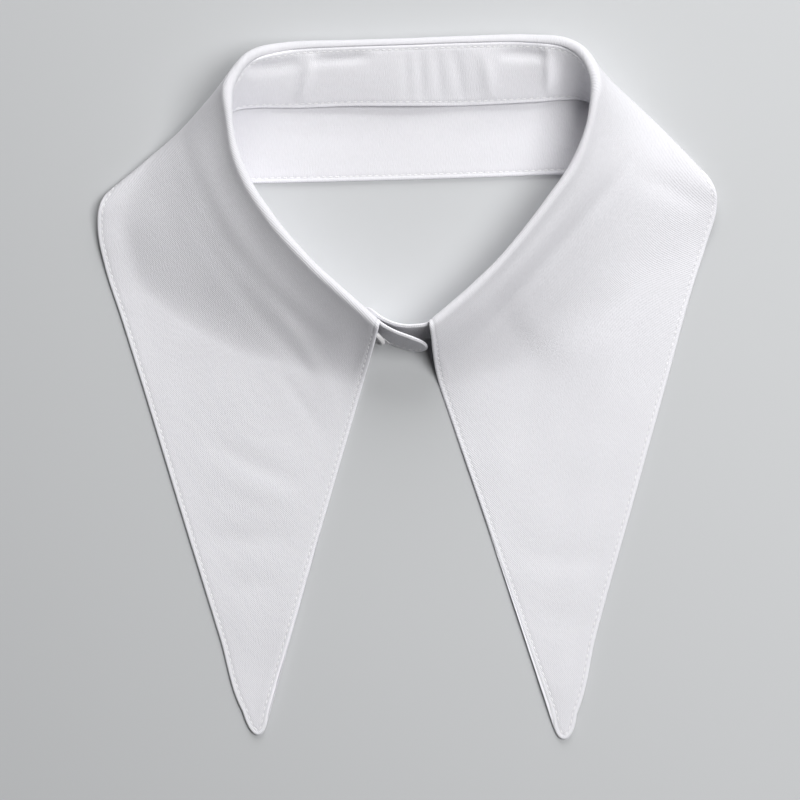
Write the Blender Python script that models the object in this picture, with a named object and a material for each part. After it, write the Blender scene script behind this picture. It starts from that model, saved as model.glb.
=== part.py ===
"""Detachable shirt collar, buttoned at the neck and laid down with its points forward.

Two layers of fall (upper and under collar) and two layers of stand are joined just inside
the roll.  The back of the fall is turned under, so the collar rests on it and on its points.
Sizes are in millimetres in the tables and become metres when the meshes are made.
Axes: +X is the right-hand side seen from the points, +Y the back of the neck, +Z up.
"""
import math
from collections import namedtuple

import bpy
import bmesh
import numpy as np

for old in list(bpy.data.objects):
    bpy.data.objects.remove(old, do_unlink=True)

# ---------------------------------------------------------------- driving sizes (mm)
MM = 0.001
LEAF = 1.0            # one layer of cloth with its interfacing
GAP = 0.3             # space kept between layers and across seams
HALF = GAP / 2 + LEAF  # from the middle of a two-layer wall to its face
REST = HALF           # height of a wall's middle when it lies on the table

BUTTON_R = 4.8
BUTTON_T = 1.9
BUTTON_RIM = 1.0
BUTTON_HOLE_R = 0.7
BUTTON_HOLE_AT = 1.3
BUTTON_ALONG = 0.97   # where the button is on the tab, as a share of its length from the tip
BUTTON_LOW = 10.5     # how far the button's middle is below the tab's top edge

ROLL_STEPS = 5        # mesh steps over the roll
DROP_STEPS = 3        # mesh steps from the roll down to the foot
LIE_STEPS = 3         # mesh steps from the foot to the outer edge
STAND_STEPS = 4       # mesh steps down the stand
BOW = 0.8             # how far the stand bows toward the outside at mid height
TAB_ROUND = 7.0       # length over which the lapping ends are rounded

# ---------------------------------------------------------------- the stand, a row a section
# seam = where the stand meets the fall, low = the neckline edge under it
Stand = namedtuple("Stand", "name seam_x seam_y seam_z low_x low_y low_z")
# ---------------------------------------------------------------- the fall, a row a section
# foot = where the wall reaches its lie, hem = outer edge,
# roll = radius over the roll, slope = degrees below level just past it,
# drop and sweep = how long it holds that slope and how long it flattens before the foot
Fall = namedtuple("Fall", "name foot_x foot_y foot_z hem_x hem_y hem_z roll slope drop sweep")

LEFT_END = [  # the tab that laps on the outside, from its tip back to the wing
    Stand("tab_tip",       7.4,   14.5,  20.6,    7.6,   12.6,  0.7),
    Stand("tab_middle",    1.0,   16.6,  21.2,    1.0,   14.4,  0.6),
    Stand("tab_root",     -5.2,   19.0,  21.4,   -6.0,   16.7,  0.6),
]
LEFT_STAND = [
    Stand("front",       -10.2,   22.0,  21.5,  -12.0,   19.3,  0.6),
    Stand("point_in",    -10.9,   22.6,  21.5,  -12.8,   19.9,  0.6),
    Stand("point_out",   -12.0,   23.6,  21.5,  -14.2,   20.8,  0.6),
    Stand("point",       -17.0,   28.0,  21.5,  -20.0,   24.2,  0.6),
    Stand("lower",       -26.0,   35.9,  21.6,  -30.2,   31.0,  0.6),
    Stand("middle",      -36.3,   45.4,  21.8,  -42.0,   39.6,  0.7),
    Stand("upper",       -50.4,   61.9,  22.2,  -58.0,   55.5,  1.2),
    Stand("arm",         -60.8,   78.7,  22.6,  -70.6,   72.0,  3.4),
    Stand("side",        -66.1,   95.2,  23.0,  -78.0,   88.0,  3.9),
    Stand("over",        -66.4,  105.0,  23.2,  -77.5,   96.5,  4.0),
    Stand("fold",        -65.4,  111.5,  22.8,  -73.0,  102.8,  4.1),
    Stand("under",       -63.0,  117.0,  21.5,  -67.0,  106.4,  4.1),
    Stand("corner",      -57.6,  123.2,  18.2,  -57.8,  107.8,  4.2),
    Stand("back_out",    -44.8,  127.7,  13.4,  -43.4,  107.7,  4.2),
    Stand("back_mid",    -23.0,  129.3,  12.2,  -22.0,  108.3,  4.6),
]
LEFT_FALL = [
    Fall("front",        -17.4,   -1.0,  1.15,   -52.0,  -122.4,  1.15,  2.4,  56,  9.0,  10.0),
    Fall("point_in",     -20.0,   -0.6,  1.15,   -55.6,  -131.4,  1.15,  2.4,  56,  9.0,  10.0),
    Fall("point_out",    -23.4,    0.3,  1.15,   -61.7,  -122.4,  1.15,  2.4,  56,  9.0,  11.0),
    Fall("point",        -32.6,    3.5,  1.15,   -70.4,   -95.0,  1.15,  2.4,  55,  9.0,   9.0),
    Fall("lower",        -47.0,    8.5,  1.15,   -86.3,   -45.0,  1.15,  2.4,  54,  9.0,  10.0),
    Fall("middle",       -65.0,   13.6,  1.15,   -98.8,    -5.0,  1.15,  2.4,  52,  9.0,  11.0),
    Fall("upper",        -91.0,   28.8,  1.25,  -108.6,    25.5,  1.15,  2.9,  50,  9.0,  12.0),
    Fall("arm",         -109.5,   47.4,  2.00,  -115.2,    45.5,  1.50,  3.0,  48,  9.0,  14.0),
    Fall("side",        -110.5,   63.2,  3.80,  -118.1,    59.9,  3.20,  3.1,  48,  9.0,  14.0),
    Fall("over",        -107.5,   74.2,  5.20,  -117.8,    67.4,  4.60,  2.9,  50,  9.0,  18.0),
    Fall("fold",         -95.0,   90.0,  4.60,  -114.6,    73.8,  3.20,  2.9,  56,  9.0,  16.0),
    Fall("under",        -84.0,   98.5,  1.25,  -108.6,    77.0,  1.25,  2.7,  68,  8.0,  12.0),
    Fall("corner",       -66.0,  114.0,  1.15,   -92.0,    77.6,  1.15,  2.6,  80,  6.0,   9.0),
    Fall("back_out",     -48.0,  124.5,  1.15,   -62.0,    78.5,  1.15,  2.3,  86,  4.0,   5.5),
    Fall("back_mid",     -24.0,  126.2,  1.15,   -31.0,    79.2,  1.15,  2.1,  88,  3.6,   4.5),
]
MIDDLE_STAND = [
    Stand("back",          0.0,  130.1,  12.0,    0.0,  108.2,  5.2),
]
MIDDLE_FALL = [
    Fall("back",           0.0,  127.0,  1.15,    -0.4,    80.0,  1.15,  2.1,  88,  3.6,   4.5),
]
RIGHT_STAND = [
    Stand("back_mid",     23.0,  130.9,  12.2,   22.0,  108.6,  4.4),
    Stand("back_out",     45.6,  130.8,  13.2,   44.0,  109.6,  4.6),
    Stand("corner",       60.6,  127.6,  17.2,   58.8,  110.6,  4.2),
    Stand("under",        67.0,  120.6,  21.3,   69.0,  110.4,  4.1),
    Stand("fold",         69.2,  114.2,  22.8,   76.0,  106.6,  4.1),
    Stand("over",         69.6,  107.4,  23.2,   80.0,  100.4,  4.0),
    Stand("side",         68.4,   97.8,  23.0,   80.2,   92.0,  3.9),
    Stand("arm",          62.6,   83.0,  22.6,   72.8,   76.6,  3.6),
    Stand("upper",        51.4,   66.6,  22.2,   59.4,   60.6,  1.4),
    Stand("middle",       36.6,   48.0,  21.8,   42.4,   42.2,  0.7),
    Stand("lower",        24.6,   36.0,  21.6,   28.8,   31.0,  0.6),
    Stand("point",        15.4,   28.0,  21.5,   18.4,   24.2,  0.6),
    Stand("point_out",    10.2,   23.6,  21.5,   12.4,   20.8,  0.6),
    Stand("point_in",      9.0,   22.6,  21.5,   10.9,   19.9,  0.6),
    Stand("front",         8.2,   22.0,  21.5,    9.9,   19.4,  0.6),
]
RIGHT_FALL = [
    Fall("back_mid",      24.0,  127.6,  1.15,    31.0,    81.0,  1.15,  2.1,  88,  3.6,   4.5),
    Fall("back_out",      49.0,  127.6,  1.15,    62.0,    82.2,  1.15,  2.3,  86,  4.0,   5.5),
    Fall("corner",        70.0,  118.5,  1.15,    92.0,    83.4,  1.15,  2.6,  80,  6.0,   9.0),
    Fall("under",         89.0,  103.5,  1.25,   108.4,    84.0,  1.25,  2.7,  68,  8.0,  12.0),
    Fall("fold",          99.0,   97.0,  4.60,   114.4,    81.0,  3.20,  2.9,  56,  9.0,  16.0),
    Fall("over",         103.0,   84.0,  5.60,   117.9,    75.0,  4.60,  2.9,  50,  9.0,  18.0),
    Fall("side",         105.0,   72.0,  4.60,   118.2,    68.2,  3.20,  3.1,  48,  9.0,  20.0),
    Fall("arm",          102.0,   56.0,  2.50,   114.4,    55.0,  1.50,  3.0,  48,  9.0,  22.0),
    Fall("upper",         86.0,   36.0,  1.30,   108.2,    36.0,  1.15,  2.9,  50,  9.0,  22.0),
    Fall("middle",        62.0,   17.0,  1.15,    98.6,     2.0,  1.15,  2.4,  52,  9.0,  20.0),
    Fall("lower",         47.0,    8.5,  1.15,    85.4,   -44.0,  1.15,  2.4,  54,  9.0,  17.0),
    Fall("point",         30.0,    3.0,  1.15,    71.0,   -94.0,  1.15,  2.4,  55,  9.0,  13.0),
    Fall("point_out",     19.6,    0.0,  1.15,    63.6,  -123.2,  1.15,  2.4,  56,  9.0,  11.0),
    Fall("point_in",      15.8,   -0.8,  1.15,    58.6,  -132.7,  1.15,  2.4,  56,  9.0,  10.0),
    Fall("front",         12.9,   -1.2,  1.15,    54.2,  -123.2,  1.15,  2.4,  56,  9.0,  10.0),
]
RIGHT_END = [  # the end that laps on the inside, from the wing to its tip
    Stand("lap_root",      3.4,   20.9,  21.4,    4.2,   18.6,  0.6),
    Stand("lap_middle",   -2.6,   21.1,  21.2,   -2.6,   19.0,  0.6),
    Stand("lap_side",     -8.8,   25.2,  21.1,   -9.6,   23.2,  0.7),
    Stand("lap_tip",     -15.4,   31.0,  20.8,  -17.0,   27.6,  0.8),
]


# ---------------------------------------------------------------- helpers
def columns(rows):
    """The numbers of a table as an array, one row a section."""
    return np.array([row[1:] for row in rows], dtype=float)


def spacing(values):
    """Running distance between sections, taken over all their points."""
    steps = np.linalg.norm(np.diff(values, axis=0), axis=1)
    return np.concatenate([[0.0], np.cumsum(np.maximum(steps, 1e-6))])


def smooth(knots, values, at):
    """A smooth curve through the sections, read at the distances `at`."""
    slopes = np.diff(values, axis=0) / np.diff(knots)[:, None]
    gaps = np.diff(knots)[:, None]
    tangents = np.empty_like(values)
    tangents[1:-1] = (slopes[:-1] * gaps[1:] + slopes[1:] * gaps[:-1]) / (gaps[1:] + gaps[:-1])
    tangents[0] = slopes[0]
    tangents[-1] = slopes[-1]
    span = np.clip(np.searchsorted(knots, at, side="right") - 1, 0, len(knots) - 2)
    width = (knots[span + 1] - knots[span])[:, None]
    t = ((at - knots[span]) / width[:, 0])[:, None]
    a = values[span] * (2 * t ** 3 - 3 * t ** 2 + 1)
    b = values[span + 1] * (3 * t ** 2 - 2 * t ** 3)
    c = tangents[span] * width * (t ** 3 - 2 * t ** 2 + t)
    d = tangents[span + 1] * width * (t ** 3 - t ** 2)
    return a + b + c + d


def unit(vectors):
    return vectors / np.maximum(np.linalg.norm(vectors, axis=-1, keepdims=True), 1e-9)


def bisectors(grid, axis):
    """The direction of a grid's lines at each point, halfway between the two steps there."""
    steps = unit(np.diff(grid, axis=axis))
    first = np.take(steps, [0], axis=axis)
    last = np.take(steps, [-1], axis=axis)
    return unit(np.concatenate([first, steps], axis=axis) + np.concatenate([steps, last], axis=axis))


def normals(grid, start):
    """Surface normals of a grid of points; `start` is its direction on leaving the seam."""
    along = bisectors(grid, 0)
    across = bisectors(grid, 1)
    across[:, 0] = start
    return unit(np.cross(across, along))


def wall(name, grid, start, side, low, high, material):
    """A closed layer between two offsets of a grid, moved along the normals."""
    out = normals(grid, start) * side
    top = grid + out * high
    bottom = grid + out * low
    rows, cols = grid.shape[:2]
    mesh = bmesh.new()
    layers = []
    for points in (top, bottom):
        points = points.copy()
        points[..., 2] = np.maximum(points[..., 2], 0.0)
        layers.append([[mesh.verts.new(tuple(p * MM)) for p in line] for line in points])
    upper, lower = layers
    for i in range(rows - 1):
        for j in range(cols - 1):
            a, b, c, d = (i, j), (i + 1, j), (i + 1, j + 1), (i, j + 1)
            mesh.faces.new([upper[r][k] for r, k in (a, b, c, d)])
            mesh.faces.new([lower[r][k] for r, k in (d, c, b, a)])
    ring = [(i, 0) for i in range(rows)]
    ring += [(rows - 1, j) for j in range(1, cols)]
    ring += [(i, cols - 1) for i in range(rows - 2, -1, -1)]
    ring += [(0, j) for j in range(cols - 2, 0, -1)]
    for (r, k), (s, m) in zip(ring, ring[1:] + ring[:1]):
        mesh.faces.new([upper[s][m], upper[r][k], lower[r][k], lower[s][m]])
    bmesh.ops.recalc_face_normals(mesh, faces=mesh.faces)
    bmesh.ops.triangulate(mesh, faces=mesh.faces)
    data = bpy.data.meshes.new(name)
    mesh.to_mesh(data)
    mesh.free()
    data.materials.append(material)
    data.shade_smooth()
    data.set_sharp_from_angle(angle=math.radians(50))
    item = bpy.data.objects.new(name, data)
    bpy.context.scene.collection.objects.link(item)
    return item


def finish(name, colour, rough):
    material = bpy.data.materials.new(name)
    material.use_nodes = True
    shader = material.node_tree.nodes["Principled BSDF"]
    shader.inputs["Base Color"].default_value = (*colour, 1.0)
    shader.inputs["Roughness"].default_value = rough
    return material


# ---------------------------------------------------------------- the middle surfaces
stand_rows = LEFT_STAND + MIDDLE_STAND + RIGHT_STAND
fall_rows = LEFT_FALL + MIDDLE_FALL + RIGHT_FALL
all_rows = LEFT_END + stand_rows + RIGHT_END

first = len(LEFT_END)
stand_table = columns(all_rows)
fall_table = columns(fall_rows)
stand_knots = spacing(stand_table)
shared = spacing(np.hstack([stand_table[first:first + len(fall_rows)], fall_table[:, :6]]))


def between(knots, steps):
    """Each span between two sections, cut into equal steps."""
    parts = [np.linspace(a, b, n, endpoint=False) for a, b, n in zip(knots, knots[1:], steps)]
    return np.concatenate(parts + [knots[-1:]])


FALL_CUTS = [3, 3] + [2] * (len(fall_rows) - 5) + [3, 3]
at_fall = between(shared, FALL_CUTS)
seam_low = smooth(shared, stand_table[first:first + len(fall_rows)], at_fall)
feet = smooth(shared, fall_table, at_fall)

seam = seam_low[:, 0:3]
low = seam_low[:, 3:6]
up = unit(seam - low)
foot = feet[:, 0:3].copy()
hem = feet[:, 3:6].copy()
foot[:, 2] = np.maximum(foot[:, 2], REST)
hem[:, 2] = np.maximum(hem[:, 2], REST)
roll, slope, drop, sweep = (feet[:, k:k + 1] for k in (6, 7, 8, 9))


def fall_surface():
    """Sections from the seam, over the roll, down to the foot and out to the hem."""
    start = seam + up * GAP
    level = unit((foot - seam) * (1, 1, 0))
    steep = np.radians(slope)
    down = level * np.cos(steep) - np.array([0.0, 0.0, 1.0]) * np.sin(steep)
    dot = np.sum(down * up, axis=1, keepdims=True)
    across = unit(down - up * dot)
    turn = np.arccos(np.clip(dot, -1, 1))
    grid = []
    for k in range(ROLL_STEPS + 1):
        a = turn * k / ROLL_STEPS
        grid.append(start + across * roll * (1 - np.cos(a)) + up * roll * np.sin(a))
    lip = grid[-1]
    one = lip + down * drop
    two = foot + unit((foot - hem) * (1, 1, 0.4)) * sweep
    for k in range(1, DROP_STEPS + 1):
        t = k / DROP_STEPS
        grid.append(lip * (1 - t) ** 3 + one * 3 * t * (1 - t) ** 2
                    + two * 3 * t ** 2 * (1 - t) + foot * t ** 3)
    for k in range(1, LIE_STEPS + 1):
        grid.append(foot + (hem - foot) * k / LIE_STEPS)
    return np.stack(grid, axis=1)


def stand_surface():
    """Sections down the stand, with rounded ends where the two ends lap."""
    left = np.linspace(stand_knots[0], stand_knots[first], 9)[:-1]
    right = np.linspace(stand_knots[first + len(fall_rows) - 1], stand_knots[-1], 14)[1:]
    end_left = smooth(stand_knots, stand_table, left)
    end_right = smooth(stand_knots, stand_table, right)
    rows = np.vstack([end_left, seam_low, end_right])
    top, bottom = rows[:, 0:3], rows[:, 3:6]
    run = spacing(top)
    from_end = np.minimum(run, run[-1] - run)
    q = np.clip(1 - from_end / TAB_ROUND, 0, 0.96)
    cut = 0.5 * (1 - np.sqrt(1 - q ** 2))
    outward = unit(np.cross(np.gradient(top, axis=0), top - bottom))
    grid = []
    for k in range(STAND_STEPS + 1):
        v = cut * 1.1 + (1 - cut * 2.0) * k / STAND_STEPS
        bow = BOW * 4 * v * (1 - v)
        grid.append(top + (bottom - top) * v[:, None] + outward * bow[:, None])
    return np.stack(grid, axis=1), unit(bottom - top)


white = finish("collar_cloth_upper", (0.86, 0.88, 0.92), 0.6)
under_white = finish("collar_cloth_under", (0.84, 0.86, 0.9), 0.62)
inner_white = finish("stand_cloth_inner", (0.85, 0.87, 0.91), 0.6)
outer_white = finish("stand_cloth_outer", (0.83, 0.85, 0.89), 0.62)
pearl = finish("button_pearl", (0.9, 0.91, 0.93), 0.22)

fall_grid = fall_surface()
stand_grid, stand_down = stand_surface()
wall("collar_upper", fall_grid, up, -1, GAP / 2, HALF, white)
wall("collar_under", fall_grid, up, -1, -HALF, -GAP / 2, under_white)
wall("stand_inner", stand_grid, stand_down, 1, GAP / 2, HALF, inner_white)
wall("stand_outer", stand_grid, stand_down, 1, -HALF, -GAP / 2, outer_white)


# ---------------------------------------------------------------- the button on the tab
def lathe(name, profile, turns, place, axis, material):
    """A closed round piece turned from a profile of (radius, height) points."""
    side_x = unit(np.cross(axis, (0.0, 0.0, 1.0)))
    side_y = np.cross(axis, side_x)
    mesh = bmesh.new()
    rings = []
    for radius, height in profile:
        if radius == 0:
            rings.append([mesh.verts.new(tuple((place + axis * height) * MM))])
            continue
        ring = []
        for k in range(turns):
            a = 2 * math.pi * k / turns
            p = place + axis * height + (side_x * math.cos(a) + side_y * math.sin(a)) * radius
            ring.append(mesh.verts.new(tuple(p * MM)))
        rings.append(ring)
    for one, two in zip(rings, rings[1:]):
        for k in range(turns):
            n = (k + 1) % turns
            if len(one) == 1:
                mesh.faces.new([one[0], two[k], two[n]])
            elif len(two) == 1:
                mesh.faces.new([one[k], two[0], one[n]])
            else:
                mesh.faces.new([one[k], two[k], two[n], one[n]])
    bmesh.ops.recalc_face_normals(mesh, faces=mesh.faces)
    data = bpy.data.meshes.new(name)
    mesh.to_mesh(data)
    mesh.free()
    data.materials.append(material)
    data.shade_smooth()
    data.set_sharp_from_angle(angle=math.radians(40))
    item = bpy.data.objects.new(name, data)
    bpy.context.scene.collection.objects.link(item)
    return item, side_x, side_y


button_at = stand_knots[first] * BUTTON_ALONG
tab = smooth(stand_knots, stand_table, np.array([button_at]))[0]
tab_top, tab_low = tab[0:3], tab[3:6]
tab_down = unit(tab_low - tab_top)
nearby = smooth(stand_knots, stand_table, np.array([button_at + 1.0]))[0][0:3]
tab_out = unit(np.cross(tab_top - nearby, tab_down))
if tab_out[1] > 0:
    tab_out = -tab_out
seat = tab_top + tab_down * BUTTON_LOW + tab_out * (HALF + BOW + GAP)
profile = [
    (0, 0), (BUTTON_R - 0.7, 0), (BUTTON_R - 0.2, 0.35), (BUTTON_R, 0.9),
    (BUTTON_R - 0.1, BUTTON_T - 0.35), (BUTTON_R - 0.5, BUTTON_T),
    (BUTTON_R - BUTTON_RIM, BUTTON_T - 0.15), (BUTTON_R - BUTTON_RIM - 0.5, BUTTON_T - 0.6),
    (0, BUTTON_T - 0.75),
]
button, side_x, side_y = lathe("button", profile, 40, seat, tab_out, pearl)
for n, (i, j) in enumerate(((1, 1), (1, -1), (-1, 1), (-1, -1))):
    at = seat + side_x * i * BUTTON_HOLE_AT / 1.3 + side_y * j * BUTTON_HOLE_AT / 1.3
    tube = [(0, -1), (BUTTON_HOLE_R, -1), (BUTTON_HOLE_R, BUTTON_T + 1), (0, BUTTON_T + 1)]
    cutter, _, _ = lathe("button_cutter_%d" % n, tube, 12, at, tab_out, pearl)
    cutter.hide_render = True
    cutter.display_type = "WIRE"
    cut = button.modifiers.new("hole_%d" % n, "BOOLEAN")
    cut.operation = "DIFFERENCE"
    cut.solver = "EXACT"
    cut.object = cutter
depsgraph = bpy.context.evaluated_depsgraph_get()
drilled = bpy.data.meshes.new_from_object(button.evaluated_get(depsgraph))
button.modifiers.clear()
button.data = drilled
for item in list(bpy.data.objects):
    if item.name.startswith("button_cutter"):
        bpy.data.objects.remove(item, do_unlink=True)

# ---------------------------------------------------------------- centred over the origin
nodes = [item for item in bpy.data.objects if item.type == "MESH"]
corners = np.array([tuple(v.co) for item in nodes for v in item.data.vertices])
middle = (corners.min(axis=0) + corners.max(axis=0)) / 2
middle[2] = corners[:, 2].min()
for item in nodes:
    for v in item.data.vertices:
        v.co = tuple(np.array(v.co) - middle)

along_seam = np.linalg.norm(np.diff(seam, axis=0), axis=1).sum()
along_low = np.linalg.norm(np.diff(low, axis=0), axis=1).sum()
widths = np.linalg.norm(seam - low, axis=1)
spans = np.linalg.norm(np.diff(fall_grid, axis=1), axis=2).sum(axis=1)
print("seam %.0f mm, neckline %.0f mm" % (along_seam, along_low))
print("stand width %s" % np.round(widths[::4], 1))
print("fall width %s" % np.round(spans[::4], 1))
print("moved by %s mm to centre it" % np.round(-middle / MM, 2))
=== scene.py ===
# %% [markdown]
# # A detachable shirt collar, buttoned and laid on a table
#
# The collar is two layers of fall (upper and under collar) sewn to two layers of stand. Buttoned and put
# down with its points forward, its back turns under and its fall flips over at the two shoulders. This
# script dresses the plain solids of the frame with thin cloth shells, creases, topstitching and a button.

# %% Load the frame
import math
from collections import namedtuple

import bmesh
import bpy
import numpy as np
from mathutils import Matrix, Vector


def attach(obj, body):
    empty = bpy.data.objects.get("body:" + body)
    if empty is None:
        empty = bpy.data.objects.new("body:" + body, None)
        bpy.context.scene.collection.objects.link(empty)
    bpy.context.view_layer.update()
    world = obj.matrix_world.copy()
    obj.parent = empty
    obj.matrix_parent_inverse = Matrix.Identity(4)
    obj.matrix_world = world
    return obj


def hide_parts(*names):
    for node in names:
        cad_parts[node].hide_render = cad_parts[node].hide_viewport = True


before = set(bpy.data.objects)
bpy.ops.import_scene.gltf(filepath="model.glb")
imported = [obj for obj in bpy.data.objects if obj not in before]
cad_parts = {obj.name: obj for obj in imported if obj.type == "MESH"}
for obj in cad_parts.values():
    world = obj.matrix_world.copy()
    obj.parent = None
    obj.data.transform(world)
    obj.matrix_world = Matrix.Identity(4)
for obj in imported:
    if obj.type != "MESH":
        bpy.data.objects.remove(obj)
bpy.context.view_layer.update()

MM = 0.001
print("frame nodes:", ", ".join(sorted(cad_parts)))

# %% [markdown]
# ## The sections of the collar
#
# A sewn collar is easiest to describe by sections, one every few centimetres along the seam between the
# stand and the fall. Each row says where the seam is, where the neckline edge lies under it, where the fall
# lands on the table and where its outer edge ends. These are the same sections that the solids have, so the
# shells lie inside them. A dense scan could do the same, but rows with names can be read and changed.

# %% Tables of sections, in millimetres
Stand = namedtuple("Stand", "name seam_x seam_y seam_z low_x low_y low_z")
Fall = namedtuple("Fall", "name foot_x foot_y foot_z hem_x hem_y hem_z roll slope drop sweep")

LEFT_END = [  # the tab that laps on the outside, from its tip back to the wing
    Stand("tab_tip",      7.4,  14.5, 20.6,   7.6,  12.6, 0.7),
    Stand("tab_middle",   1.0,  16.6, 21.2,   1.0,  14.4, 0.6),
    Stand("tab_root",    -5.2,  19.0, 21.4,  -6.0,  16.7, 0.6),
]
LEFT_STAND = [
    Stand("front",      -10.2,  22.0, 21.5, -12.0,  19.3, 0.6),
    Stand("point_in",   -10.9,  22.6, 21.5, -12.8,  19.9, 0.6),
    Stand("point_out",  -12.0,  23.6, 21.5, -14.2,  20.8, 0.6),
    Stand("point",      -17.0,  28.0, 21.5, -20.0,  24.2, 0.6),
    Stand("lower",      -26.0,  35.9, 21.6, -30.2,  31.0, 0.6),
    Stand("middle",     -36.3,  45.4, 21.8, -42.0,  39.6, 0.7),
    Stand("upper",      -50.4,  61.9, 22.2, -58.0,  55.5, 1.2),
    Stand("arm",        -60.8,  78.7, 22.6, -70.6,  72.0, 3.4),
    Stand("side",       -66.1,  95.2, 23.0, -78.0,  88.0, 3.9),
    Stand("over",       -66.4, 105.0, 23.2, -77.5,  96.5, 4.0),
    Stand("fold",       -65.4, 111.5, 22.8, -73.0, 102.8, 4.1),
    Stand("under",      -63.0, 117.0, 21.5, -67.0, 106.4, 3.0),
    Stand("corner",     -57.6, 123.2, 18.2, -57.8, 107.8, 2.8),
    Stand("back_out",   -44.8, 127.7, 13.4, -43.4, 107.7, 2.7),
    Stand("back_mid",   -23.0, 129.3, 12.2, -22.0, 108.3, 3.3),
]
LEFT_FALL = [
    Fall("front",       -17.4,  -1.0, 1.15,  -52.0, -122.4, 1.15, 1.5, 56, 9.0, 10.0),
    Fall("point_in",    -20.0,  -0.6, 1.15,  -55.6, -131.4, 1.15, 1.5, 56, 9.0, 10.0),
    Fall("point_out",   -23.4,   0.3, 1.15,  -61.7, -122.4, 1.15, 1.5, 56, 9.0, 11.0),
    Fall("point",       -32.6,   3.5, 1.15,  -70.4,  -95.0, 1.15, 1.5, 55, 9.0,  9.0),
    Fall("lower",       -47.0,   8.5, 1.15,  -86.3,  -45.0, 1.15, 1.5, 54, 9.0, 10.0),
    Fall("middle",      -65.0,  13.6, 1.15,  -98.8,   -5.0, 1.15, 1.5, 52, 9.0, 11.0),
    Fall("upper",       -91.0,  28.8, 1.25, -108.6,   25.5, 1.15, 1.6, 50, 9.0, 12.0),
    Fall("arm",        -109.5,  47.4, 2.00, -115.2,   45.5, 1.50, 1.6, 48, 9.0, 14.0),
    Fall("side",       -110.5,  63.2, 3.80, -118.1,   59.9, 3.20, 1.7, 48, 9.0, 14.0),
    Fall("over",       -107.5,  74.2, 5.20, -117.8,   67.4, 4.60, 1.7, 50, 9.0, 18.0),
    Fall("fold",        -95.0,  90.0, 4.60, -114.6,   73.8, 3.20, 1.8, 56, 9.0, 16.0),
    Fall("under",       -84.0,  98.5, 1.25, -108.6,   77.0, 1.25, 1.9, 68, 8.0, 12.0),
    Fall("corner",      -66.0, 114.0, 1.15,  -92.0,   77.6, 1.15, 2.0, 80, 6.0,  9.0),
    Fall("back_out",    -48.0, 124.5, 1.15,  -62.0,   78.5, 1.15, 1.9, 86, 4.0,  5.5),
    Fall("back_mid",    -24.0, 126.2, 1.15,  -31.0,   79.2, 1.15, 1.6, 88, 3.6,  4.5),
]
MIDDLE_STAND = [
    Stand("back",         0.0, 130.1, 12.0,   0.0, 108.2, 3.8),
]
MIDDLE_FALL = [
    Fall("back",          0.0, 127.0, 1.15,   -0.4,   80.0, 1.15, 1.6, 88, 3.6,  4.5),
]
RIGHT_STAND = [
    Stand("back_mid",    23.0, 130.9, 12.2,  22.0, 108.6, 2.8),
    Stand("back_out",    45.6, 130.8, 13.2,  44.0, 109.6, 3.2),
    Stand("corner",      60.6, 127.6, 17.2,  58.8, 110.6, 2.7),
    Stand("under",       67.0, 120.6, 21.3,  69.0, 110.4, 3.0),
    Stand("fold",        69.2, 114.2, 22.8,  76.0, 106.6, 4.1),
    Stand("over",        69.6, 107.4, 23.2,  80.0, 100.4, 4.0),
    Stand("side",        68.4,  97.8, 23.0,  80.2,  92.0, 3.9),
    Stand("arm",         62.6,  83.0, 22.6,  72.8,  76.6, 3.6),
    Stand("upper",       51.4,  66.6, 22.2,  59.4,  60.6, 1.4),
    Stand("middle",      36.6,  48.0, 21.8,  42.4,  42.2, 0.7),
    Stand("lower",       24.6,  36.0, 21.6,  28.8,  31.0, 0.6),
    Stand("point",       15.4,  28.0, 21.5,  18.4,  24.2, 0.6),
    Stand("point_out",   10.2,  23.6, 21.5,  12.4,  20.8, 0.6),
    Stand("point_in",     9.0,  22.6, 21.5,  10.9,  19.9, 0.6),
    Stand("front",        8.2,  22.0, 21.5,   9.9,  19.4, 0.6),
]
RIGHT_FALL = [
    Fall("back_mid",     24.0, 127.6, 1.15,   31.0,   81.0, 1.15, 1.6, 88, 3.6,  4.5),
    Fall("back_out",     49.0, 127.6, 1.15,   62.0,   82.2, 1.15, 1.9, 86, 4.0,  5.5),
    Fall("corner",       70.0, 118.5, 1.15,   92.0,   83.4, 1.15, 2.0, 80, 6.0,  9.0),
    Fall("under",        89.0, 103.5, 1.25,  108.4,   84.0, 1.25, 1.9, 68, 8.0, 12.0),
    Fall("fold",         99.0,  97.0, 4.60,  114.4,   81.0, 3.20, 1.8, 56, 9.0, 16.0),
    Fall("over",        103.0,  84.0, 5.60,  117.9,   75.0, 4.60, 1.7, 50, 9.0, 18.0),
    Fall("side",        105.0,  72.0, 4.60,  118.2,   68.2, 3.20, 1.7, 48, 9.0, 20.0),
    Fall("arm",         102.0,  56.0, 2.50,  114.4,   55.0, 1.50, 1.6, 48, 9.0, 22.0),
    Fall("upper",        86.0,  36.0, 1.30,  108.2,   36.0, 1.15, 1.6, 50, 9.0, 22.0),
    Fall("middle",       62.0,  17.0, 1.15,   98.6,    2.0, 1.15, 1.5, 52, 9.0, 20.0),
    Fall("lower",        47.0,   8.5, 1.15,   85.4,  -44.0, 1.15, 1.5, 54, 9.0, 17.0),
    Fall("point",        30.0,   3.0, 1.15,   71.0,  -94.0, 1.15, 1.5, 55, 9.0, 13.0),
    Fall("point_out",    19.6,   0.0, 1.15,   63.6, -123.2, 1.15, 1.5, 56, 9.0, 11.0),
    Fall("point_in",     15.8,  -0.8, 1.15,   58.6, -132.7, 1.15, 1.5, 56, 9.0, 10.0),
    Fall("front",        12.9,  -1.2, 1.15,   54.2, -123.2, 1.15, 1.5, 56, 9.0, 10.0),
]
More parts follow.
